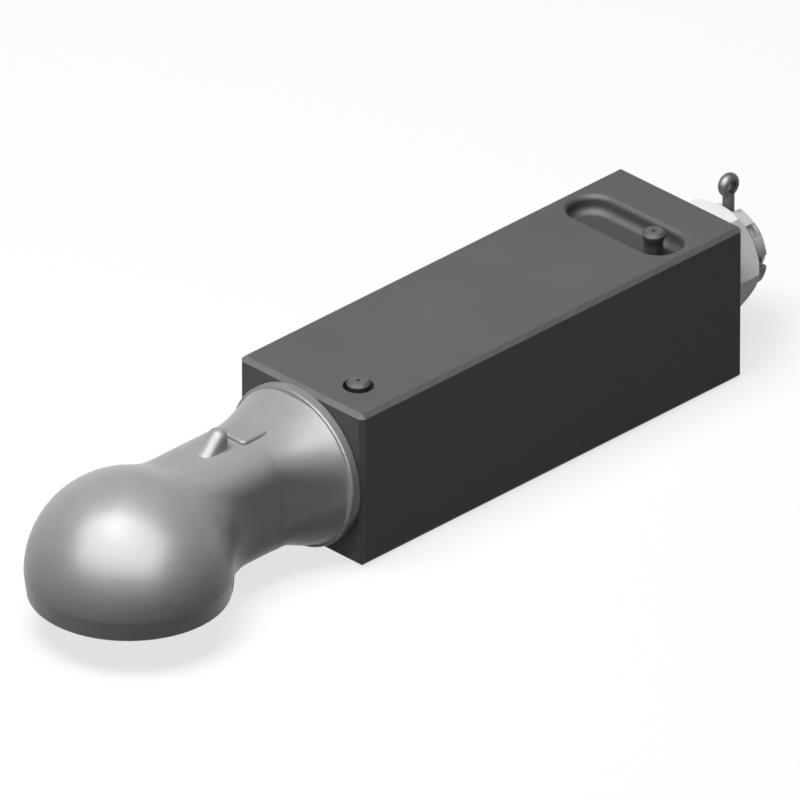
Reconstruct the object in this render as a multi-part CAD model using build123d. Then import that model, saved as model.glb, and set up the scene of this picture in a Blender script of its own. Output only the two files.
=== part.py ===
from build123d import *
import math
import os

os.makedirs("parts", exist_ok=True)

# Swivelling ball coupling head for a trailer drawbar. A forged cup, neck and shaft in one piece turns in a
# square steel block, and a castle nut with a split pin holds it at the back.
# Millimetres. +X points forward, out of the cup end, +Z is up, and the origin is the centre of the ball.

# Ball cup
ball_diameter = 80.0
ball_clearance = 0.4
cup_diameter = 120.6
cup_skirt = 12.6
cup_band_top = 0.5
cup_band_taper = 7.0
cup_band_back = 38.0
cup_mouth_chamfer = 3.0
rim_relief_angle = 45.0
rim_relief_land = 2.0

# Neck and flange of the forging
shaft_rise = 14.7
neck_width = 57.6
neck_height = 72.8
neck_lift = 0.6
neck_corner_radius = 18.6
neck_cup_fillet = 39.0
flare_length = 38.0
flare_end_width = 91.0
flare_end_height = 93.0
flare_end_corner_radius = 41.0
flare_side_sweep = 1.25
flare_top_sweep = 1.5
flare_bottom_sweep = 0.85
flare_bottom_delay = 0.35
flare_section_count = 6
flange_diameter = 99.6
flange_thickness = 7.0
flange_edge_round = 1.2

# Forged lug and plain raised pad on top of the neck
lug_width = 11.8
lug_height = 12.3
lug_length = 19.6
lug_crest = 7.8
lug_setback = 56.9
lug_edge_round = 5.2
pad_size = 19.5
pad_height = 2.5
pad_corner_radius = 2.5
pad_edge = 0.8
pad_setback = 92.2

# Shaft and its threaded end
shaft_diameter = 50.0
shaft_root_fillet = 2.0
thread_diameter = 39.0
thread_core_diameter = 34.1
thread_end_chamfer = 1.0
thread_past_nut = 6.5
centre_hole_diameter = 4.0
centre_hole_depth = 8.0
centre_sink_diameter = 9.0
centre_sink_angle = 30.0

# Square block
block_setback = 137.7
block_length = 311.0
block_width = 100.0
block_edge_chamfer = 2.7
middle_bore_gap = 2.0

# Bushes, seals and thrust washers
bush_wall = 5.0
bush_length = 60.0
bush_groove_width = 7.0
bush_groove_depth = 1.5
bush_hole_diameter = 4.0
bush_hole_count = 4
bush_end_chamfer = 1.0
seal_width = 7.0
seal_wall = 2.0
seal_lip_tip = 0.8
front_washer_diameter = 84.0
front_washer_gap = 1.0
front_washer_thickness = 4.0
rear_washer_diameter = 80.0
rear_washer_thickness = 4.0
washer_edge = 0.6

# Castle nut
nut_flats = 60.0
nut_hex_height = 30.0
nut_crown_height = 10.0
nut_crown_diameter = 52.4
nut_slot_width = 8.0
nut_slot_count = 8
nut_face_diameter = 57.6
nut_chamfer_angle = 45.0
nut_crown_edge = 1.0
nut_bore_diameter = 34.7
nut_bore_edge = 1.5

# Split pin of half-round wire
pin_diameter = 7.0
pin_hole_diameter = 7.4
pin_depth_in_slot = 3.75
pin_leg_gap = 0.2
pin_eye_bore = 7.8
pin_eye_rise = 9.25
pin_throat_radius = 4.0
pin_inner_bend = 4.6
pin_outer_bend = 8.5
pin_inner_tail = 13.0
pin_outer_tail = 9.0

# Grease nipples, both of one kind
nipple_side = 22.7
front_nipple_setback = 24.4
rear_nipple_setback = 46.4
front_nipple_proud = 3.4
rear_nipple_proud = 4.9
front_well_diameter = 18.2
nipple_thread_diameter = 10.0
nipple_thread_length = 9.5
nipple_hole_spare = 0.5
nipple_height = 16.7
nipple_hex_flats = 10.0
nipple_stem_height = 9.8
nipple_head_diameter = 13.8
nipple_head_rim = 0.9
nipple_top_diameter = 10.4
nipple_top_edge = 1.6
nipple_tip_chamfer = 0.8
orifice_diameter = 2.4
orifice_depth = 2.5
valve_bore_diameter = 4.6
valve_ledge_height = 2.0
valve_ball_diameter = 4.0
spring_wire = 0.5
spring_mean_diameter = 3.0
spring_pitch = 1.6
grease_passage_diameter = 5.0

# Pocket round the rear nipple
pocket_length = 83.4
pocket_width = 29.4
pocket_floor_fillet = 5.0
pocket_rim_fillet = 3.5

# Fits
running_clearance = 0.05
seat_clearance = 0.02
loose_clearance = 0.3
end_play = 0.3
valve_gap = 0.05
cut_margin = 1.0

# Stations along the shaft
block_front = -block_setback
block_rear = block_front - block_length
flange_back = block_front + end_play
flange_front = flange_back + flange_thickness
flare_front = flange_front + flare_length
front_recess_floor = flange_back - front_washer_thickness
front_seal_back = front_recess_floor - seal_width
front_bush_front = front_seal_back - loose_clearance
front_bush_back = front_bush_front - bush_length
rear_seal_front = block_rear + seal_width
rear_bush_back = rear_seal_front + loose_clearance
rear_bush_front = rear_bush_back + bush_length
shaft_shoulder = block_rear - end_play
nut_seat = shaft_shoulder - rear_washer_thickness
nut_hex_end = nut_seat - nut_hex_height
nut_end = nut_hex_end - nut_crown_height
shaft_end = nut_end - thread_past_nut
pin_station = nut_hex_end - pin_depth_in_slot
front_nipple_station = block_front - front_nipple_setback
rear_nipple_station = block_rear + rear_nipple_setback

# Heights
neck_top = shaft_rise + neck_height / 2 + neck_lift
block_top = shaft_rise + block_width / 2
front_nipple_seat = block_top + front_nipple_proud - nipple_height
rear_nipple_seat = block_top + rear_nipple_proud - nipple_height

# Radii
cup_radius = cup_diameter / 2
socket_radius = ball_diameter / 2 + ball_clearance
shaft_radius = shaft_diameter / 2
thread_radius = thread_diameter / 2
thread_core_radius = thread_core_diameter / 2
nut_bore_radius = nut_bore_diameter / 2
bush_radius = shaft_radius + running_clearance + bush_wall + seat_clearance
front_washer_bore_radius = shaft_radius + shaft_root_fillet + front_washer_gap
pin_radius = pin_diameter / 2
orifice_radius = orifice_diameter / 2
valve_bore_radius = valve_bore_diameter / 2
valve_ball_radius = valve_ball_diameter / 2

# The valve ball and its spring, measured from the nipple's seat
valve_seat_height = nipple_height - orifice_depth
ball_height = valve_seat_height + orifice_radius - (valve_ball_radius + valve_gap) * math.sqrt(2)
spring_reach = valve_ball_radius + spring_wire / 2 + valve_gap
spring_top = ball_height - math.sqrt(spring_reach**2 - (spring_mean_diameter / 2) ** 2)
spring_foot = valve_ledge_height + spring_wire / 2 + seat_clearance

shaft_axis = Axis((0, 0, shaft_rise), (1, 0, 0))
turning_plane = Plane(origin=(0, 0, shaft_rise), x_dir=(1, 0, 0), z_dir=(0, -1, 0))


def across_shaft(station):
    """Plane square to the shaft, with its own x along +Y and its own y along +Z."""
    return Plane(origin=(station, 0, shaft_rise), x_dir=(0, 1, 0), z_dir=(1, 0, 0))


def turned(*profile):
    """Solid turned about the shaft axis from (station, radius) points."""
    return revolve(turning_plane * make_face(Polyline(*profile, close=True)), shaft_axis)


def upright(*profile):
    """Solid turned about the vertical axis from (radius, height) points."""
    return revolve(Plane.XZ * make_face(Polyline(*profile, close=True)), Axis.Z)


def bar(radius, back, front):
    """Round bar on the shaft axis between two stations."""
    return turned((back, 0), (back, radius), (front, radius), (front, 0))


def flat_ring(outer_radius, inner_radius, back, front):
    """Flat ring on the shaft axis with chamfered outer edges."""
    return turned(
        (back, inner_radius),
        (back, outer_radius - washer_edge),
        (back + washer_edge, outer_radius),
        (front - washer_edge, outer_radius),
        (front, outer_radius - washer_edge),
        (front, inner_radius),
    )


def flare_section(share):
    """Neck section, plain at share 0 and grown to the flange end at share 1. The underside starts later."""
    late = max(0.0, share - flare_bottom_delay) / (1 - flare_bottom_delay)
    top_start = neck_height / 2 + neck_lift
    bottom_start = neck_height / 2 - neck_lift
    above = top_start + (flare_end_height / 2 - top_start) * share**flare_top_sweep
    below = bottom_start + (flare_end_height / 2 - bottom_start) * late**flare_bottom_sweep
    aside = share**flare_side_sweep
    width = neck_width + (flare_end_width - neck_width) * aside
    corner = neck_corner_radius + (flare_end_corner_radius - neck_corner_radius) * aside
    outline = Pos(0, (above - below) / 2) * RectangleRounded(width, above + below, corner)
    return across_shaft(flare_front - share * flare_length) * outline


def cup_with_neck():
    """Full ball blended into the neck bar. The rim is cut later."""
    section = Pos(0, neck_lift) * RectangleRounded(neck_width, neck_height, neck_corner_radius)
    neck = extrude(across_shaft(flare_front) * section, amount=-flare_front)
    body = Sphere(cup_radius) + neck
    on_ball = body.edges().filter_by(lambda edge: abs((edge @ 0.5).length - cup_radius) < seat_clearance)
    return fillet(on_ball.filter_by(lambda edge: (edge @ 0.5).X < 0), neck_cup_fillet)


def flare():
    """Loft from the neck section to the nearly round flange end."""
    last = flare_section_count - 1
    return loft([flare_section(step / last) for step in range(flare_section_count)])


def flange():
    disc = bar(flange_diameter / 2, flange_back, flange_front)
    rims = disc.edges().filter_by(GeomType.CIRCLE)
    return fillet(rims, flange_edge_round)


def neck_lug():
    """Forged lug with a sloping front face and rounded edges."""
    front = -lug_setback
    back = front - lug_length
    crest = neck_top + lug_height
    sunk = neck_top - lug_edge_round
    profile = Polyline(
        (back, sunk),
        (back, crest),
        (back + lug_crest, crest),
        (front, neck_top),
        (front, sunk),
        close=True,
    )
    lug = extrude(Plane.XZ * make_face(profile), amount=lug_width / 2, both=True)
    above = lug.edges().filter_by(lambda edge: edge.center().Z > neck_top)
    return fillet(above, lug_edge_round)


def neck_pad():
    """Plain raised pad with rounded corners."""
    foot = Plane(origin=(-pad_setback, 0, neck_top - pad_height))
    pad = extrude(foot * RectangleRounded(pad_size, pad_size, pad_corner_radius), amount=2 * pad_height)
    return chamfer(pad.faces().sort_by(Axis.Z)[-1].edges(), pad_edge)


def shaft():
    """Journal, threaded end with its lead-in, and the rounded root at the flange."""
    body = turned(
        (shaft_end, 0),
        (shaft_end, thread_core_radius - thread_end_chamfer),
        (shaft_end + thread_end_chamfer, thread_core_radius),
        (shaft_shoulder, thread_core_radius),
        (shaft_shoulder, shaft_radius),
        (flange_back - shaft_root_fillet, shaft_radius),
        (flange_back, shaft_radius + shaft_root_fillet),
        (flange_front, shaft_radius + shaft_root_fillet),
        (flange_front, 0),
    )
    sink_radius = centre_sink_diameter / 2
    hole_radius = centre_hole_diameter / 2
    sink_depth = (sink_radius - hole_radius) / math.tan(math.radians(centre_sink_angle))
    centre = turned(
        (shaft_end, 0),
        (shaft_end, sink_radius),
        (shaft_end + sink_depth, hole_radius),
        (shaft_end + centre_hole_depth, hole_radius),
        (shaft_end + centre_hole_depth + hole_radius, 0),
    )
    pin_hole = Pos(pin_station, 0, shaft_rise) * Cylinder(pin_hole_diameter / 2, shaft_diameter)
    return body - centre - pin_hole


def ball_socket():
    """Room for the ball, straight below its middle, with a lead-in at the rim."""
    arc = CenterArc((0, 0), socket_radius, 0, 90)
    walls = Polyline(
        (0, socket_radius),
        (0, -cup_skirt - cut_margin),
        (socket_radius + cup_mouth_chamfer + cut_margin, -cup_skirt - cut_margin),
        (socket_radius, -cup_skirt + cup_mouth_chamfer),
        (socket_radius, 0),
    )
    return revolve(Plane.XZ * make_face(arc + walls), Axis.Z)


def rim_relief():
    """All that lies below the rim, widening downwards so that the neck clears what carries the ball."""
    rim_radius = math.sqrt(cup_radius**2 - cup_skirt**2)
    drop = cup_diameter
    spread = drop / math.tan(math.radians(rim_relief_angle))
    return upright(
        (0, -cup_skirt),
        (rim_radius + rim_relief_land, -cup_skirt),
        (rim_radius + rim_relief_land + spread, -cup_skirt - drop),
        (0, -cup_skirt - drop),
    )


def rim_band():
    """What the tapered band at the rim leaves off the ball's outside, short of the neck's blend."""
    start = math.sqrt(cup_radius**2 - cup_band_top**2)
    foot = -cup_skirt - cut_margin
    narrowing = (-cup_band_top - foot) * math.tan(math.radians(cup_band_taper))
    ring = upright(
        (start, -cup_band_top),
        (cup_radius + cut_margin, -cup_band_top),
        (cup_radius + cut_margin, foot),
        (start - narrowing, foot),
    )
    ahead = Pos(cup_diameter - cup_band_back, 0, 0) * Box(2 * cup_diameter, 2 * cup_diameter, cup_diameter)
    return ring & ahead


def coupling_head():
    body = cup_with_neck() + flare() + flange() + shaft()
    body += neck_lug()
    body += neck_pad()
    return body - rim_relief() - rim_band() - ball_socket()


def nipple_hole(station, seat):
    """Tapped hole below a nipple's seat and the passage down to the bush."""
    depth = nipple_thread_length + nipple_hole_spare
    tapped_radius = nipple_thread_diameter / 2
    tapped = Pos(0, 0, seat - depth / 2) * Cylinder(tapped_radius, depth)
    passage_top = seat - depth
    passage_length = passage_top - shaft_rise
    passage = Cylinder(grease_passage_diameter / 2, passage_length)
    passage = Pos(0, 0, passage_top - passage_length / 2) * passage
    return Pos(station, nipple_side, 0) * (tapped + passage)


def grease_pocket():
    """Long rounded pocket across the block, down to the rear nipple's seat."""
    depth = block_top - rear_nipple_seat
    outline = SlotOverall(pocket_length, pocket_width, rotation=90)
    floor = Plane(origin=(rear_nipple_station, 0, rear_nipple_seat))
    tool = extrude(floor * outline, amount=depth + cut_margin)
    return fillet(tool.faces().sort_by(Axis.Z)[0].edges(), pocket_floor_fillet)


def housing_block():
    block = Pos(block_front - block_length / 2, 0, shaft_rise) * Box(block_length, block_width, block_width)
    block = chamfer(block.edges(), block_edge_chamfer)
    block -= grease_pocket()
    in_top = block.edges().filter_by(lambda edge: abs(edge.center().Z - block_top) < seat_clearance)
    pocket_rim = in_top.filter_by(lambda edge: abs(edge.center().X - rear_nipple_station) < pocket_width)
    pocket_rim = pocket_rim.filter_by(lambda edge: abs(edge.center().Y) < pocket_length / 2)
    block = fillet(pocket_rim, pocket_rim_fillet)
    well_depth = block_top - front_nipple_seat
    well = Cylinder(front_well_diameter / 2, well_depth + cut_margin)
    well = Pos(front_nipple_station, nipple_side, front_nipple_seat + (well_depth + cut_margin) / 2) * well
    recess_radius = front_washer_diameter / 2 + loose_clearance
    block -= bar(recess_radius, front_recess_floor, block_front + cut_margin)
    block -= bar(bush_radius, front_bush_back, block_front)
    block -= bar(bush_radius, block_rear - cut_margin, rear_bush_front)
    block -= bar(shaft_radius + middle_bore_gap, rear_bush_front, front_bush_back)
    block -= well
    block -= nipple_hole(front_nipple_station, front_nipple_seat)
    block -= nipple_hole(rear_nipple_station, rear_nipple_seat)
    return block


def bush(back, grease_station):
    """Bearing bush with a grease groove round it and holes through to the shaft."""
    outer = bush_radius - seat_clearance
    inner = shaft_radius + running_clearance
    front = back + bush_length
    groove_floor = outer - bush_groove_depth
    body = turned(
        (back, inner),
        (back, outer - bush_end_chamfer),
        (back + bush_end_chamfer, outer),
        (grease_station - bush_groove_width / 2, outer),
        (grease_station - bush_groove_width / 2, groove_floor),
        (grease_station + bush_groove_width / 2, groove_floor),
        (grease_station + bush_groove_width / 2, outer),
        (front - bush_end_chamfer, outer),
        (front, outer - bush_end_chamfer),
        (front, inner),
    )
    for turn in range(bush_hole_count):
        drill = Pos(0, 0, bush_radius / 2) * Cylinder(bush_hole_diameter / 2, bush_radius)
        body -= Pos(grease_station, 0, shaft_rise) * Rot(X=360 * turn / bush_hole_count) * drill
    return body


def seal(outside, inside):
    """Lip seal. Its lip leans from the inner end to the outer end, where it wipes the shaft."""
    outer = bush_radius - seat_clearance
    lip = shaft_radius + running_clearance
    out = math.copysign(1, outside - inside)
    web = inside + out * seal_wall
    return turned(
        (inside, outer),
        (outside, outer),
        (outside, outer - seal_wall),
        (web, outer - seal_wall),
        (outside, lip + seal_lip_tip),
        (outside, lip),
        (outside - out * seal_lip_tip, lip),
        (inside, lip + seal_wall),
    )


def castle_nut():
    corner = nut_flats / math.sqrt(3)
    face = nut_face_diameter / 2
    slope = (corner - face) * math.tan(math.radians(nut_chamfer_angle))
    hexagon = RegularPolygon(nut_flats / 2, 6, major_radius=False)
    body = extrude(across_shaft(nut_seat) * hexagon, amount=-nut_hex_height)
    body &= turned(
        (nut_seat, 0),
        (nut_seat, face),
        (nut_seat - slope, corner),
        (nut_hex_end + slope, corner),
        (nut_hex_end, face),
        (nut_hex_end, 0),
    )
    crown = nut_crown_diameter / 2
    body += turned(
        (nut_hex_end, 0),
        (nut_hex_end, crown),
        (nut_end + nut_crown_edge, crown),
        (nut_end, crown - nut_crown_edge),
        (nut_end, 0),
    )
    slot = Box(nut_crown_height, nut_slot_width, nut_crown_diameter)
    slot = Pos(0, 0, nut_crown_diameter / 2) * slot
    crown_middle = Pos(nut_hex_end - nut_crown_height / 2, 0, shaft_rise)
    for turn in range(nut_slot_count):
        body -= crown_middle * Rot(X=360 * turn / nut_slot_count) * slot
    return body - turned(
        (nut_end, 0),
        (nut_end, nut_bore_radius + nut_bore_edge),
        (nut_end + nut_bore_edge, nut_bore_radius),
        (nut_seat - nut_bore_edge, nut_bore_radius),
        (nut_seat, nut_bore_radius + nut_bore_edge),
        (nut_seat, 0),
    )


def split_pin():
    """Half-round wire folded into an eye, one leg bent along the nut and one over the shaft end."""
    gap = pin_leg_gap / 2
    eye_radius = pin_eye_bore / 2
    throat = nut_crown_diameter / 2 + pin_eye_rise
    eye_centre_rise = math.sqrt((pin_throat_radius + eye_radius) ** 2 - (pin_throat_radius + gap) ** 2)
    throat_turn = math.degrees(math.atan2(eye_centre_rise, pin_throat_radius + gap))
    inner_level = -nut_flats / 2 - loose_clearance - pin_radius
    inner_start = inner_level + pin_inner_bend
    outer_start = -nut_crown_diameter / 2 - loose_clearance
    tail = Line((gap + pin_inner_bend + pin_inner_tail, inner_level), (gap + pin_inner_bend, inner_level))
    bend = JernArc(tail @ 1, (-1, 0), pin_inner_bend, -90)
    leg = Line(bend @ 1, (gap, throat))
    flare_out = JernArc(leg @ 1, (0, 1), pin_throat_radius, -throat_turn)
    eye = JernArc(flare_out @ 1, flare_out % 1, eye_radius, 180 + 2 * throat_turn)
    flare_in = JernArc(eye @ 1, eye % 1, pin_throat_radius, -throat_turn)
    back_leg = Line(flare_in @ 1, (-gap, outer_start))
    over = JernArc(back_leg @ 1, (0, -1), pin_outer_bend, -180)
    back_tail = Line(over @ 1, over @ 1 + Vector(0, pin_outer_tail))
    path = Wire([tail, bend, leg, flare_out, eye, flare_in, back_leg, over, back_tail])
    half_round = make_face(Line((0, -pin_radius), (0, pin_radius)) + CenterArc((0, 0), pin_radius, -90, 180))
    start = Plane(origin=tail @ 0, x_dir=(0, 1, 0), z_dir=(-1, 0, 0))
    stand = Plane(origin=(pin_station, 0, shaft_rise), x_dir=(1, 0, 0), z_dir=(0, -1, 0))
    return stand * sweep(start * half_round, path=path)


def nipple(station, seat):
    """Grease nipple: threaded tip, hexagon stem, conical head and the bore for its check valve."""
    tip_radius = nipple_thread_diameter / 2 - seat_clearance
    tip = -nipple_thread_length
    stem = nipple_hex_flats / math.sqrt(3)
    head = nipple_head_diameter / 2
    rim_top = nipple_height - nipple_top_edge
    blank = upright(
        (0, tip),
        (tip_radius - nipple_tip_chamfer, tip),
        (tip_radius, tip + nipple_tip_chamfer),
        (tip_radius, 0),
        (stem, 0),
        (stem, nipple_stem_height),
        (head, rim_top - nipple_head_rim),
        (head, rim_top),
        (nipple_top_diameter / 2, nipple_height),
        (0, nipple_height),
    )
    flats = extrude(RegularPolygon(nipple_hex_flats / 2, 6, major_radius=False), amount=nipple_stem_height)
    stem_waste = Cylinder(nipple_head_diameter, nipple_stem_height)
    stem_waste = Pos(0, 0, nipple_stem_height / 2) * stem_waste - flats
    bore = upright(
        (0, tip - cut_margin),
        (orifice_radius, tip - cut_margin),
        (orifice_radius, valve_ledge_height),
        (valve_bore_radius, valve_ledge_height),
        (valve_bore_radius, valve_seat_height - valve_bore_radius + orifice_radius),
        (orifice_radius, valve_seat_height),
        (orifice_radius, nipple_height + cut_margin),
        (0, nipple_height + cut_margin),
    )
    return Pos(station, nipple_side, seat) * (blank - stem_waste - bore)


def valve_ball(station, seat):
    return Pos(station, nipple_side, seat + ball_height) * Sphere(valve_ball_radius)


def valve_spring(station, seat):
    helix = Helix(spring_pitch, spring_top - spring_foot, spring_mean_diameter / 2)
    section = Plane(origin=helix @ 0, z_dir=helix % 0) * Circle(spring_wire / 2)
    wire = sweep(section, path=helix, is_frenet=True)
    return Pos(station, nipple_side, seat + spring_foot) * wire


front_place = (front_nipple_station, front_nipple_seat)
rear_place = (rear_nipple_station, rear_nipple_seat)
pieces = {
    "housing_block": housing_block(),
    "coupling_head": coupling_head(),
    "front_bush": bush(front_bush_back, front_nipple_station),
    "rear_bush": bush(rear_bush_back, rear_nipple_station),
    "front_seal": seal(front_recess_floor, front_seal_back),
    "rear_seal": seal(block_rear, rear_seal_front),
    "front_thrust_washer": flat_ring(
        front_washer_diameter / 2, front_washer_bore_radius, front_recess_floor, flange_back
    ),
    "rear_thrust_washer": flat_ring(
        rear_washer_diameter / 2, thread_radius + loose_clearance, nut_seat, shaft_shoulder
    ),
    "castle_nut": castle_nut(),
    "split_pin": split_pin(),
    "front_grease_nipple": nipple(*front_place),
    "front_nipple_ball": valve_ball(*front_place),
    "front_nipple_spring": valve_spring(*front_place),
    "rear_grease_nipple": nipple(*rear_place),
    "rear_nipple_ball": valve_ball(*rear_place),
    "rear_nipple_spring": valve_spring(*rear_place),
}

for name, piece in pieces.items():
    export_step(piece, f"parts/{name}.step")
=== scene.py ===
import math

import bpy
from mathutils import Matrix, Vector


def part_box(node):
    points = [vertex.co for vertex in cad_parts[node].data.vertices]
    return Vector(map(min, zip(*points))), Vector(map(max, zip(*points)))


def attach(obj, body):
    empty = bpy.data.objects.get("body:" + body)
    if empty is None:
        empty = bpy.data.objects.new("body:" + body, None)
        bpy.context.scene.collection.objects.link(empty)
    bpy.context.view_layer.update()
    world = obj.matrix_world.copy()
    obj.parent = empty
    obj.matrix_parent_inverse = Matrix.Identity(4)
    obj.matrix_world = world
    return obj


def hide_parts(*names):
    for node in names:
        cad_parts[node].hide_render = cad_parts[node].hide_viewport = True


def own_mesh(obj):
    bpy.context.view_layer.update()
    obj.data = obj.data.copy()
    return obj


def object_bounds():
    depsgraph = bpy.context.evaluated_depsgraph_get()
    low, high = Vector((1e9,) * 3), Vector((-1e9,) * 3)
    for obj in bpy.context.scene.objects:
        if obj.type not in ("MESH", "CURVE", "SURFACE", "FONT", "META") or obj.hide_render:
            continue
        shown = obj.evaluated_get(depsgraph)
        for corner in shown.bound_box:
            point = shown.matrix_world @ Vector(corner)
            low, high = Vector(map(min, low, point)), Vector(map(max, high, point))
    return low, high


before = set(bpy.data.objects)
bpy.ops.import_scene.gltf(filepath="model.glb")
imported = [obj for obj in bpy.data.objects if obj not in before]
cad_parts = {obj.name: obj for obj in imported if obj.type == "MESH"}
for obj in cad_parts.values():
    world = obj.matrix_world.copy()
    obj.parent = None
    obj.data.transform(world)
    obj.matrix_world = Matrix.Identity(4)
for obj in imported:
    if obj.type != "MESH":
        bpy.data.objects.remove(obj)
cad_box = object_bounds()

MM = 0.001


def colour(red, green, blue):
    """A colour as Blender's sockets take it."""
    return (red, green, blue, 1.0)


# Places read from the frame
block_low, block_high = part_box("housing_block")
block_middle = (block_low + block_high) / 2
block_half = (block_high - block_low) / 2
shaft_height = block_middle.z
shaft_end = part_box("coupling_head")[0].x
nut_low, nut_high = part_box("castle_nut")
floor_height = cad_box[0][2]

# Sizes and places that the finishes follow
block_chamfer = 2.7 * MM
pocket_middle = -402.3 * MM
pocket_half_width = 14.7 * MM
pocket_floor = block_high.z - 11.8 * MM
socket_radius = 40.4 * MM
cup_rim_depth = 12.6 * MM
cup_rim_back = -62 * MM
cup_rim_fade = 8 * MM
flange_radius = 49.8 * MM
flange_front = -130.4 * MM
nut_crown_foot = nut_low.x + 10 * MM

# M39 thread of the shaft's end, modelled from inside the nut to the shaft's end
thread_radius = 19.5 * MM
thread_core_radius = 17.05 * MM
thread_pitch = 4 * MM
thread_crest = 0.5 * MM
thread_flank_angle = math.radians(30)
thread_sunk = 0.3 * MM
thread_lead_in = 2 * MM
thread_length = 21.5 * MM
thread_spare = 0.2 * MM
thread_spare_turns = 2
thread_steps_per_turn = 72

# Coil springs under the nipples' balls
spring_wire_radius = 0.25 * MM
spring_wire_sides = 12
spring_pitch = 1.6 * MM
spring_steps_per_turn = 28

# Edges that turn less than this look smooth
smooth_angle = math.radians(35)

# Colours of the visible finishes
coat_dark = colour(0.087, 0.083, 0.0825)
coat_light = colour(0.1, 0.0955, 0.0945)
coat_speck = colour(0.15, 0.147, 0.147)
# Painted shade for the pocket's floor
coat_pocket_shade = colour(0.05, 0.047, 0.0465)
coat_rubbed = colour(0.22, 0.22, 0.222)
forged_dark = colour(0.27, 0.267, 0.267)
forged_light = colour(0.35, 0.347, 0.347)
# Painted shade for the flange's rim
forged_flange_rim_shade = colour(0.17, 0.168, 0.168)
turned_steel = colour(0.5, 0.5, 0.505)
zinc_dark = colour(0.75, 0.755, 0.76)
zinc_light = colour(0.83, 0.83, 0.82)
# Painted shade for the nut's slotted crown
zinc_crown_shade = colour(0.58, 0.585, 0.59)
wire_dark = colour(0.055, 0.055, 0.055)
wire_light = colour(0.115, 0.115, 0.115)
nipple_dark = colour(0.042, 0.041, 0.04)
nipple_light = colour(0.07, 0.068, 0.066)
nipple_top_dark = colour(0.085, 0.083, 0.08)
nipple_top_light = colour(0.125, 0.122, 0.118)
thread_dark = colour(0.3, 0.3, 0.3)
thread_light = colour(0.42, 0.42, 0.42)

# Colours of the pieces inside
bronze_dark = colour(0.46, 0.29, 0.12)
bronze_light = colour(0.62, 0.42, 0.2)
washer_dark = colour(0.4, 0.4, 0.4)
washer_light = colour(0.55, 0.55, 0.55)
valve_dark = colour(0.55, 0.55, 0.56)
valve_light = colour(0.66, 0.66, 0.66)
rubber_dark = colour(0.012, 0.012, 0.012)
rubber_light = colour(0.03, 0.03, 0.03)

# Floor and room
floor_size = 60
floor_pale = colour(0.9, 0.9, 0.9)
floor_dim = colour(0.03, 0.03, 0.03)
floor_shadowless_share = 0.74
room_white = colour(1.0, 1.0, 1.0)
ceiling_grey = colour(0.16, 0.16, 0.16)
room_light = 0.025

# The photograph's view, a parallel one, taken here with a very long lens
photo_pixels = 800
photo_pixels_per_metre = 1742.0
photo_target = Vector((-0.22836, -0.00992, shaft_height))
photo_azimuth = math.radians(45)
photo_elevation = math.radians(30)
lens = 1700.0
film_width = 36.0
camera_reach = 200.0


class Socket:
    """A node's output. Arithmetic on it adds Math nodes."""

    def __init__(self, nodes, output):
        self.nodes = nodes
        self.output = output

    def math(self, operation, *others):
        return self.nodes.node("ShaderNodeMath", {"operation": operation}, dict(enumerate((self, *others))))

    def __add__(self, other):
        return self.math("ADD", other)

    def __sub__(self, other):
        return self.math("SUBTRACT", other)

    def __rsub__(self, other):
        return self.nodes.node("ShaderNodeMath", {"operation": "SUBTRACT"}, {0: other, 1: self})

    def __mul__(self, other):
        return self.math("MULTIPLY", other)

    def __abs__(self):
        return self.math("ABSOLUTE")

    __radd__ = __add__
    __rmul__ = __mul__


class Nodes:
    """A node tree under construction."""

    def __init__(self, tree):
        self.tree = tree

    def node(self, kind, settings, values, output=0):
        """Any node: its settings are set first, then its sockets get values or links."""
        made = self.tree.nodes.new(kind)
        for name, value in settings.items():
            setattr(made, name, value)
        for socket, value in values.items():
            if isinstance(value, Socket):
                self.tree.links.new(value.output, made.inputs[socket])
            else:
                made.inputs[socket].default_value = value
        return Socket(self, made.outputs[output])

    def rise(self, value, low, high):
        """0 below low, 1 above high, and a soft step between them."""
        settings = {"interpolation_type": "SMOOTHSTEP"}
        values = {"Value": value, "From Min": low, "From Max": high}
        return self.node("ShaderNodeMapRange", settings, values)

    def mix(self, share, first, second):
        """One colour going over into another."""
        return self.node("ShaderNodeMix", {"data_type": "RGBA"}, {0: share, 6: first, 7: second}, 2)

    def seen_or_mirrored(self):
        """1 for what the camera, a mirror-like surface or glass sees, 0 for what only lights the object."""
        seen = self.node("ShaderNodeLightPath", {}, {}, "Is Camera Ray")
        mirrored = self.node("ShaderNodeLightPath", {}, {}, "Is Glossy Ray")
        through_glass = self.node("ShaderNodeLightPath", {}, {}, "Is Transmission Ray")
        return seen.math("MAXIMUM", mirrored).math("MAXIMUM", through_glass)

    def either(self, share, first, second):
        """One shader going over into another."""
        return self.node("ShaderNodeMixShader", {}, {0: share, 1: first, 2: second})


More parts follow.
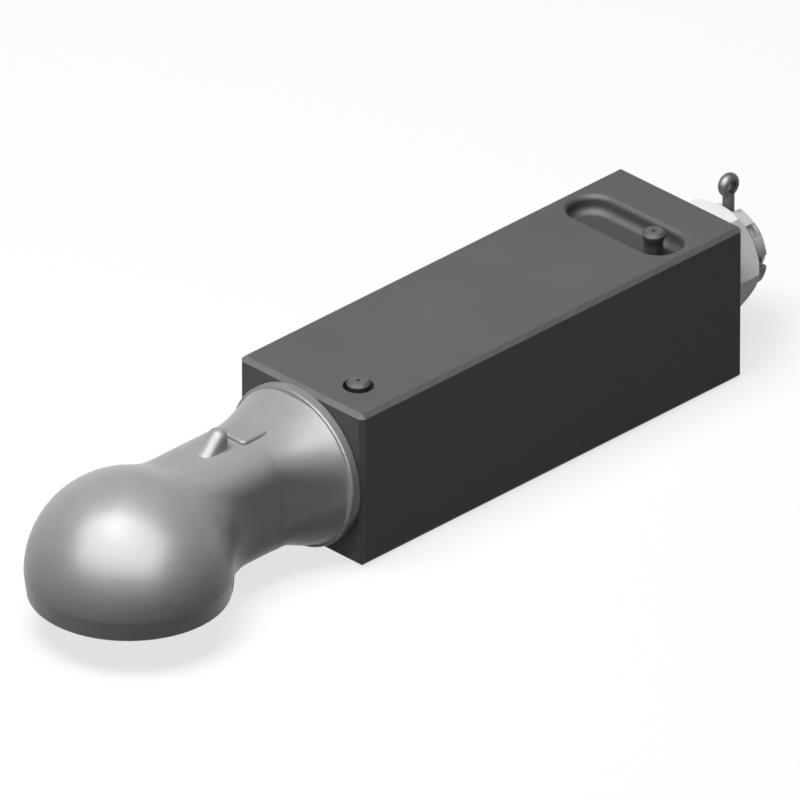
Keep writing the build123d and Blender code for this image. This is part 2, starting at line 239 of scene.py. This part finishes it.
class Finish(Nodes):
    """A material under construction: its shader's fixed values, and the nodes that vary the rest."""

    def __init__(self, name, metallic, specular):
        self.material = bpy.data.materials.new(name)
        self.material.use_nodes = True
        super().__init__(self.material.node_tree)
        self.shader = self.tree.nodes["Principled BSDF"]
        self.shader.inputs["Metallic"].default_value = metallic
        self.shader.inputs["Specular IOR Level"].default_value = specular
        self.place = self.node("ShaderNodeTexCoord", {}, {}, "Object")
        self.x = self.node("ShaderNodeSeparateXYZ", {}, {"Vector": self.place}, "X")
        self.y = self.node("ShaderNodeSeparateXYZ", {}, {"Vector": self.place}, "Y")
        self.z = self.node("ShaderNodeSeparateXYZ", {}, {"Vector": self.place}, "Z")

    def feed(self, socket, value):
        """Links a varying value to the shader."""
        self.tree.links.new(value.output, self.shader.inputs[socket])

    def noise(self, grain, detail, stretch=(1.0, 1.0, 1.0)):
        """Smooth noise from 0 to 1 with grains of about this size, longer where the stretch is small."""
        place = self.node("ShaderNodeVectorMath", {"operation": "MULTIPLY"}, {0: self.place, 1: stretch})
        values = {"Vector": place, "Scale": 1 / grain, "Detail": detail}
        return self.node("ShaderNodeTexNoise", {}, values, "Fac")

    def rings(self, across, along, grain):
        """Noise that is the same all the way round an axis, as a turning tool leaves it."""
        place = self.node("ShaderNodeCombineXYZ", {}, {"X": across, "Y": along})
        values = {"Vector": place, "Scale": 1 / grain, "Detail": 2.0}
        return self.node("ShaderNodeTexNoise", {}, values, "Fac")

    def bump(self, height, depth):
        """Relief of this depth."""
        return self.node("ShaderNodeBump", {}, {"Height": height, "Distance": depth, "Strength": 1.0})

    def bump_over(self, under, height, depth):
        """Relief on top of an earlier one."""
        values = {"Height": height, "Distance": depth, "Strength": 1.0, "Normal": under}
        return self.node("ShaderNodeBump", {}, values)

    def round_shaft(self):
        """Distance from the shaft's axis."""
        up = self.z - shaft_height
        return (self.y * self.y + up * up).math("SQRT")


def paint_for_block():
    """Near-black satin paint with a fine orange peel, rubbed on the chamfers, and with painted shade
    darkening the pocket's floor.
    """
    finish = Finish("black_satin_paint", metallic=0.0, specular=0.13)
    from_side = block_half.y - abs(finish.y)
    from_top = block_half.z - abs(finish.z - block_middle.z)
    from_end = block_half.x - abs(finish.x - block_middle.x)
    from_edge = (from_side + from_top).math("MINIMUM", from_side + from_end)
    from_edge = from_edge.math("MINIMUM", from_top + from_end)
    patches = finish.noise(14 * MM, detail=4.0)
    rubbed = 1 - finish.rise(from_edge, block_chamfer, 1.35 * block_chamfer)
    rubbed = rubbed * (0.35 + 0.65 * finish.rise(patches, 0.35, 0.7))
    cloud = finish.noise(45 * MM, detail=3.0)
    speck = finish.rise(finish.noise(1.6 * MM, detail=1.0), 0.66, 0.78)
    # Painted shade: the pocket's floor is coloured darker, as the shade of the recess
    pocket_shade = 1 - finish.rise(abs(finish.x - pocket_middle), pocket_half_width, pocket_half_width + 1 * MM)
    pocket_shade = pocket_shade * (1 - finish.rise(abs(finish.z - pocket_floor), 0.1 * MM, 0.6 * MM))
    pocket_shade = pocket_shade * finish.rise(from_side, 1 * MM, 2 * MM)
    coat = finish.mix(cloud, coat_dark, coat_light)
    coat = finish.mix(speck * 0.25, coat, coat_speck)
    coat = finish.mix(pocket_shade * 0.8, coat, coat_pocket_shade)
    finish.feed("Base Color", finish.mix(rubbed * 0.2, coat, coat_rubbed))
    finish.feed("Roughness", 0.46 + 0.1 * cloud - 0.1 * rubbed)
    orange_peel = finish.noise(2.6 * MM, detail=2.0)
    finish.feed("Normal", finish.bump(orange_peel, depth=0.06 * MM))
    return finish.material


def steel_for_head():
    """Shot-blasted forging in satin grey, turned bright in the socket and at the shaft's far end, with
    painted shade on the flange's rim.
    """
    finish = Finish("forged_grey_steel", metallic=0.0, specular=0.33)
    cloud = finish.noise(38 * MM, detail=3.0)
    scale = finish.noise(7 * MM, detail=4.0)
    forged = finish.mix(cloud * 0.6 + scale * 0.4, forged_dark, forged_light)
    off_axis = finish.round_shaft()
    # Painted shade: the flange's rim is coloured darker
    flange_rim = finish.rise(off_axis, flange_radius - 1.1 * MM, flange_radius - 0.6 * MM)
    flange_rim = flange_rim * (1 - finish.rise(finish.x, flange_front, flange_front + 1 * MM))
    forged = finish.mix(flange_rim * 0.55, forged, forged_flange_rim_shade)
    above = finish.z.math("MAXIMUM", 0.0)
    from_ball = (finish.x * finish.x + finish.y * finish.y + above * above).math("SQRT")
    in_socket = 1 - finish.rise(from_ball, socket_radius + 0.3 * MM, socket_radius + 0.6 * MM)
    rim = 1 - finish.rise(finish.z, 0.2 * MM - cup_rim_depth, 0.5 * MM - cup_rim_depth)
    rim = rim * finish.rise(finish.x, cup_rim_back - cup_rim_fade, cup_rim_back)
    socket = in_socket.math("MAXIMUM", rim)
    far_end = 1 - finish.rise(finish.x, nut_high.x - 1 * MM, nut_high.x)
    turned = socket.math("MAXIMUM", far_end)
    finish.feed("Base Color", finish.mix(turned, forged, turned_steel))
    finish.feed("Metallic", 0.8 * far_end + 0.12 * socket)
    finish.feed("Roughness", 0.3 + 0.08 * scale - 0.05 * turned)
    from_middle = (finish.x * finish.x + finish.y * finish.y).math("SQRT")
    tool_marks = finish.rings(from_middle, finish.z, grain=0.5 * MM) * socket
    tool_marks = tool_marks + finish.rings(off_axis, finish.x, grain=0.5 * MM) * far_end
    blasted = finish.noise(1.1 * MM, detail=3.0) * (1 - turned)
    uneven = finish.noise(16 * MM, detail=1.0)
    relief = finish.bump(blasted, depth=0.05 * MM)
    relief = finish.bump_over(relief, uneven, depth=0.12 * MM)
    finish.feed("Normal", finish.bump_over(relief, tool_marks, depth=0.02 * MM))
    return finish.material


def zinc_for_nut():
    """Bright zinc plating with faint cloudy tints, with painted shade colouring the slotted crown greyer.
    """
    finish = Finish("bright_zinc", metallic=0.0, specular=0.2)
    plating = finish.mix(finish.noise(6 * MM, detail=4.0), zinc_dark, zinc_light)
    # Painted shade: the slotted crown is coloured a darker grey
    crown = 1 - finish.rise(finish.x, nut_crown_foot - 0.3 * MM, nut_crown_foot)
    tool_marks = finish.rings(finish.round_shaft(), finish.x, grain=0.4 * MM)
    finish.feed("Base Color", finish.mix(crown, plating, zinc_crown_shade))
    finish.feed("Roughness", 0.28 + 0.14 * finish.noise(3 * MM, detail=3.0))
    finish.feed("Normal", finish.bump(tool_marks, depth=0.015 * MM))
    return finish.material


def wire_for_pin():
    """Drawn steel wire, dull grey, with streaks along its legs."""
    finish = Finish("drawn_steel_wire", metallic=0.15, specular=0.5)
    streak = finish.noise(1.2 * MM, detail=3.0, stretch=(1.0, 1.0, 0.12))
    finish.feed("Base Color", finish.mix(streak, wire_dark, wire_light))
    finish.feed("Roughness", 0.34 + 0.16 * streak)
    finish.feed("Normal", finish.bump(streak, depth=0.03 * MM))
    return finish.material


def steel_for_nipple(name, node):
    """Blackened steel of a grease nipple, rubbed paler on its flat top by the grease gun."""
    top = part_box(node)[1].z
    finish = Finish(name, metallic=0.0, specular=0.15)
    cloud = finish.noise(2.5 * MM, detail=4.0)
    rubbed = finish.rise(finish.z, top - 0.2 * MM, top - 0.05 * MM)
    black = finish.mix(cloud, nipple_dark, nipple_light)
    pale = finish.mix(cloud, nipple_top_dark, nipple_top_light)
    finish.feed("Base Color", finish.mix(rubbed, black, pale))
    finish.feed("Roughness", 0.5 + 0.14 * cloud - 0.08 * rubbed)
    finish.feed("Normal", finish.bump(finish.noise(0.7 * MM, detail=2.0), depth=0.02 * MM))
    return finish.material


def machined_metal(name, dark, light, roughness, grain):
    """Machined metal of the thread and the hidden pieces, with tool marks round the shaft."""
    finish = Finish(name, metallic=0.9, specular=0.5)
    tool_marks = finish.rings(finish.round_shaft(), finish.x, grain)
    finish.feed("Base Color", finish.mix(finish.noise(6 * MM, detail=3.0), dark, light))
    finish.feed("Roughness", roughness + 0.12 * tool_marks)
    finish.feed("Normal", finish.bump(tool_marks, depth=0.02 * MM))
    return finish.material


def rubber_for_seals():
    """Dull black rubber with a fine grain."""
    finish = Finish("black_seal_rubber", metallic=0.0, specular=0.4)
    grain = finish.noise(0.8 * MM, detail=3.0)
    finish.feed("Base Color", finish.mix(grain, rubber_dark, rubber_light))
    finish.feed("Roughness", 0.62 + 0.2 * grain)
    finish.feed("Normal", finish.bump(grain, depth=0.03 * MM))
    return finish.material


def select_points(test):
    """Selects the points of the mesh in edit mode for which the test holds."""
    bpy.ops.object.mode_set(mode="OBJECT")
    for point in bpy.context.object.data.vertices:
        point.select = test(point.co)
    bpy.ops.object.mode_set(mode="EDIT")


def wind(section, middle, axis, turns, pitch, steps_per_turn):
    """Winds a section into a helix round an axis through the middle, and closes the helix at both ends."""
    bpy.context.scene.cursor.location = middle
    bpy.ops.object.origin_set(type="ORIGIN_CURSOR")
    bpy.ops.object.modifier_add(type="SCREW")
    screw = section.modifiers[-1]
    screw.axis = axis
    screw.angle = turns * 2 * math.pi
    screw.screw_offset = turns * pitch
    screw.steps = round(turns * steps_per_turn)
    screw.render_steps = screw.steps
    bpy.ops.object.modifier_apply(modifier=screw.name)
    bpy.ops.object.transform_apply()
    bpy.ops.object.mode_set(mode="EDIT")
    bpy.ops.mesh.select_mode(type="EDGE")
    bpy.ops.mesh.select_all(action="DESELECT")
    bpy.ops.mesh.select_non_manifold()
    bpy.ops.mesh.fill_holes(sides=0)
    bpy.ops.mesh.select_all(action="SELECT")
    bpy.ops.mesh.normals_make_consistent(inside=False)
    bpy.ops.object.mode_set(mode="OBJECT")


def thread_bar():
    """The bar that the thread is cut on, with the lead-in at its end."""
    bpy.ops.object.select_all(action="DESELECT")
    bpy.ops.mesh.primitive_cylinder_add(
        vertices=thread_steps_per_turn,
        radius=thread_radius + thread_spare,
        depth=thread_length,
        location=(shaft_end + thread_length / 2, 0, shaft_height),
        rotation=(0, math.pi / 2, 0),
    )
    bpy.ops.object.transform_apply()
    bpy.ops.object.mode_set(mode="EDIT")
    bpy.ops.mesh.select_mode(type="VERT")
    bpy.ops.mesh.select_all(action="DESELECT")
    select_points(lambda place: place.x < shaft_end + thread_spare)
    bpy.ops.mesh.bevel(offset=thread_lead_in + thread_spare, segments=1, affect="EDGES")
    bpy.ops.object.mode_set(mode="OBJECT")
    return bpy.context.object


def shaft_thread(material):
    """Ridge of the thread: its section wound into a helix, then cut to the bar's length and lead-in."""
    bar = thread_bar()
    foot = thread_core_radius - thread_sunk
    depth = thread_radius - foot
    foot_width = thread_crest + 2 * depth * math.tan(thread_flank_angle)
    before_end = shaft_end - thread_pitch
    bpy.ops.object.select_all(action="DESELECT")
    bpy.ops.mesh.primitive_plane_add(size=depth, location=(before_end, foot + depth / 2, shaft_height))
    thread = bpy.context.object
    thread.name = "shaft_thread"
    bpy.ops.object.mode_set(mode="EDIT")
    bpy.ops.mesh.select_mode(type="VERT")
    bpy.ops.mesh.select_all(action="DESELECT")
    select_points(lambda place: place.y < 0)
    bpy.ops.transform.resize(value=(foot_width / depth, 1, 1))
    bpy.ops.mesh.select_all(action="INVERT")
    bpy.ops.transform.resize(value=(thread_crest / depth, 1, 1))
    bpy.ops.object.mode_set(mode="OBJECT")
    turns = math.ceil(thread_length / thread_pitch) + thread_spare_turns
    wind(thread, (0, 0, shaft_height), "X", turns, thread_pitch, thread_steps_per_turn)
    bpy.ops.object.modifier_add(type="BOOLEAN")
    cut = thread.modifiers[-1]
    cut.operation = "INTERSECT"
    cut.object = bar
    bpy.ops.object.modifier_apply(modifier=cut.name)
    bpy.data.objects.remove(bar)
    bpy.ops.object.shade_smooth_by_angle(angle=smooth_angle)
    thread.data.materials.append(material)
    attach(thread, "head")


def valve_spring(name, node, material):
    """Coil spring under a nipple's ball."""
    low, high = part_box(node)
    middle = (low + high) / 2
    height = high.z - low.z
    coil_radius = (high.x - low.x) / 2 - spring_wire_radius
    turns = (height - 2 * spring_wire_radius) / spring_pitch
    anchor = (middle.x, middle.y, low.z)
    bpy.ops.object.select_all(action="DESELECT")
    bpy.ops.mesh.primitive_circle_add(
        vertices=spring_wire_sides,
        radius=spring_wire_radius,
        location=(middle.x + coil_radius, middle.y, low.z + spring_wire_radius),
        rotation=(math.pi / 2, 0, 0),
    )
    spring = bpy.context.object
    spring.name = name
    bpy.ops.object.transform_apply()
    wind(spring, anchor, "Z", turns, spring_pitch, spring_steps_per_turn)
    bpy.ops.object.shade_smooth_by_angle(angle=smooth_angle)
    spring.data.materials.append(material)
    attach(spring, "housing")
    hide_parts(node)
    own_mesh(spring)


def dress(material, *names):
    """Gives a finish to nodes of the frame."""
    for name in names:
        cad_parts[name].material_slots[0].material = material


def lay_floor():
    """Pale floor that shows white with a soft shadow, throws little light up and is open from below."""
    bpy.ops.object.select_all(action="DESELECT")
    bpy.ops.mesh.primitive_plane_add(size=floor_size, location=(0, 0, floor_height))
    floor = bpy.context.object
    floor.name = "floor"
    material = bpy.data.materials.new("pale_floor")
    material.use_nodes = True
    floor.data.materials.append(material)
    nodes = Nodes(material.node_tree)
    dim = nodes.node("ShaderNodeBsdfDiffuse", {}, {"Color": floor_dim})
    pale = nodes.node("ShaderNodeBsdfDiffuse", {}, {"Color": floor_pale})
    white = nodes.node("ShaderNodeEmission", {}, {"Strength": 1.0})
    shown = nodes.either(floor_shadowless_share, pale, white)
    upper = nodes.either(nodes.seen_or_mirrored(), dim, shown)
    open_below = nodes.node("ShaderNodeBsdfTransparent", {}, {})
    from_below = nodes.node("ShaderNodeNewGeometry", {}, {}, "Backfacing")
    surface = nodes.either(from_below, upper, open_below)
    nodes.tree.links.new(surface.output, nodes.tree.nodes["Material Output"].inputs["Surface"])


def light_room():
    """Room that shows white walls and a grey ceiling, and gives the object only a little light."""
    world = bpy.data.worlds.new("studio")
    bpy.context.scene.world = world
    world.use_nodes = True
    nodes = Nodes(world.node_tree)
    place = nodes.node("ShaderNodeTexCoord", {}, {}, "Generated")
    up = nodes.node("ShaderNodeSeparateXYZ", {}, {"Vector": place}, "Z")
    walls = nodes.mix(nodes.rise(up, 0.12, 0.5), room_white, ceiling_grey)
    shown = nodes.node("ShaderNodeBackground", {}, {"Color": walls, "Strength": 1.0})
    dim = nodes.node("ShaderNodeBackground", {}, {"Color": room_white, "Strength": room_light})
    room = nodes.either(nodes.seen_or_mirrored(), dim, shown)
    nodes.tree.links.new(room.output, nodes.tree.nodes["World Output"].inputs["Surface"])


def hang_softbox(name, toward, distance, width, height, level):
    """Lamp that gives a face turned to it this level, where 1 shows a colour as it is written."""
    toward = Vector(toward)
    lamp = bpy.data.lights.new(name, "AREA")
    lamp.shape = "RECTANGLE"
    lamp.size = width
    lamp.size_y = height
    lamp.energy = level * math.pi**2 * distance**2
    holder = bpy.data.objects.new(name, lamp)
    holder.location = photo_target + toward.normalized() * distance
    holder.rotation_euler = toward.to_track_quat("Z", "Y").to_euler()
    bpy.context.scene.collection.objects.link(holder)
    return holder


def set_camera():
    """Camera at the photograph's angle and scale."""
    direction = Vector((
        math.cos(photo_azimuth) * math.cos(photo_elevation),
        math.sin(photo_azimuth) * math.cos(photo_elevation),
        math.sin(photo_elevation),
    ))
    lens_data = bpy.data.cameras.new("photo_camera")
    lens_data.lens = lens
    lens_data.sensor_width = film_width
    lens_data.clip_end = camera_reach
    camera = bpy.data.objects.new("photo_camera", lens_data)
    camera.location = photo_target + direction * (lens / film_width * photo_pixels / photo_pixels_per_metre)
    camera.rotation_euler = direction.to_track_quat("Z", "Y").to_euler()
    bpy.context.scene.collection.objects.link(camera)
    bpy.context.scene.camera = camera


# Pieces that show
dress(paint_for_block(), "housing_block")
dress(steel_for_head(), "coupling_head")
dress(zinc_for_nut(), "castle_nut")
dress(wire_for_pin(), "split_pin")
dress(steel_for_nipple("blackened_front_nipple", "front_grease_nipple"), "front_grease_nipple")
dress(steel_for_nipple("blackened_rear_nipple", "rear_grease_nipple"), "rear_grease_nipple")

# Bushes, thrust washers, seals and the nipples' valves
bronze = machined_metal("turned_bronze", bronze_dark, bronze_light, roughness=0.3, grain=0.5 * MM)
dress(bronze, "front_bush", "rear_bush")
ground = machined_metal("ground_washer_steel", washer_dark, washer_light, roughness=0.28, grain=0.4 * MM)
dress(ground, "front_thrust_washer", "rear_thrust_washer")
dress(rubber_for_seals(), "front_seal", "rear_seal")
polished = machined_metal("polished_valve_steel", valve_dark, valve_light, roughness=0.16, grain=0.3 * MM)
dress(polished, "front_nipple_ball", "rear_nipple_ball", "front_nipple_spring", "rear_nipple_spring")
valve_spring("front_valve_spring", "front_nipple_spring", polished)
valve_spring("rear_valve_spring", "rear_nipple_spring", polished)

# Thread of the shaft's end
cut_steel = machined_metal("cut_thread_steel", thread_dark, thread_light, roughness=0.3, grain=0.5 * MM)
shaft_thread(cut_steel)

# Studio, with a card that only shows as a gleam on glossy faces
lay_floor()
light_room()
hang_softbox("front_softbox", toward=(0.3, -0.06, 0.95), distance=2.4, width=1.2, height=1.2, level=0.96)
hang_softbox("overhead_softbox", toward=(-0.1, -0.05, 1.0), distance=2.2, width=1.6, height=1.6, level=0.32)
hang_softbox("fill_softbox", toward=(0.84, 0.34, 0.12), distance=2.6, width=1.6, height=1.6, level=0.06)
gleam = hang_softbox("gleam_card", toward=(0.52, 0.28, 0.81), distance=2.4, width=5, height=3, level=12.5)
gleam.visible_diffuse = False
set_camera()
bpy.context.scene.view_settings.view_transform = "Standard"
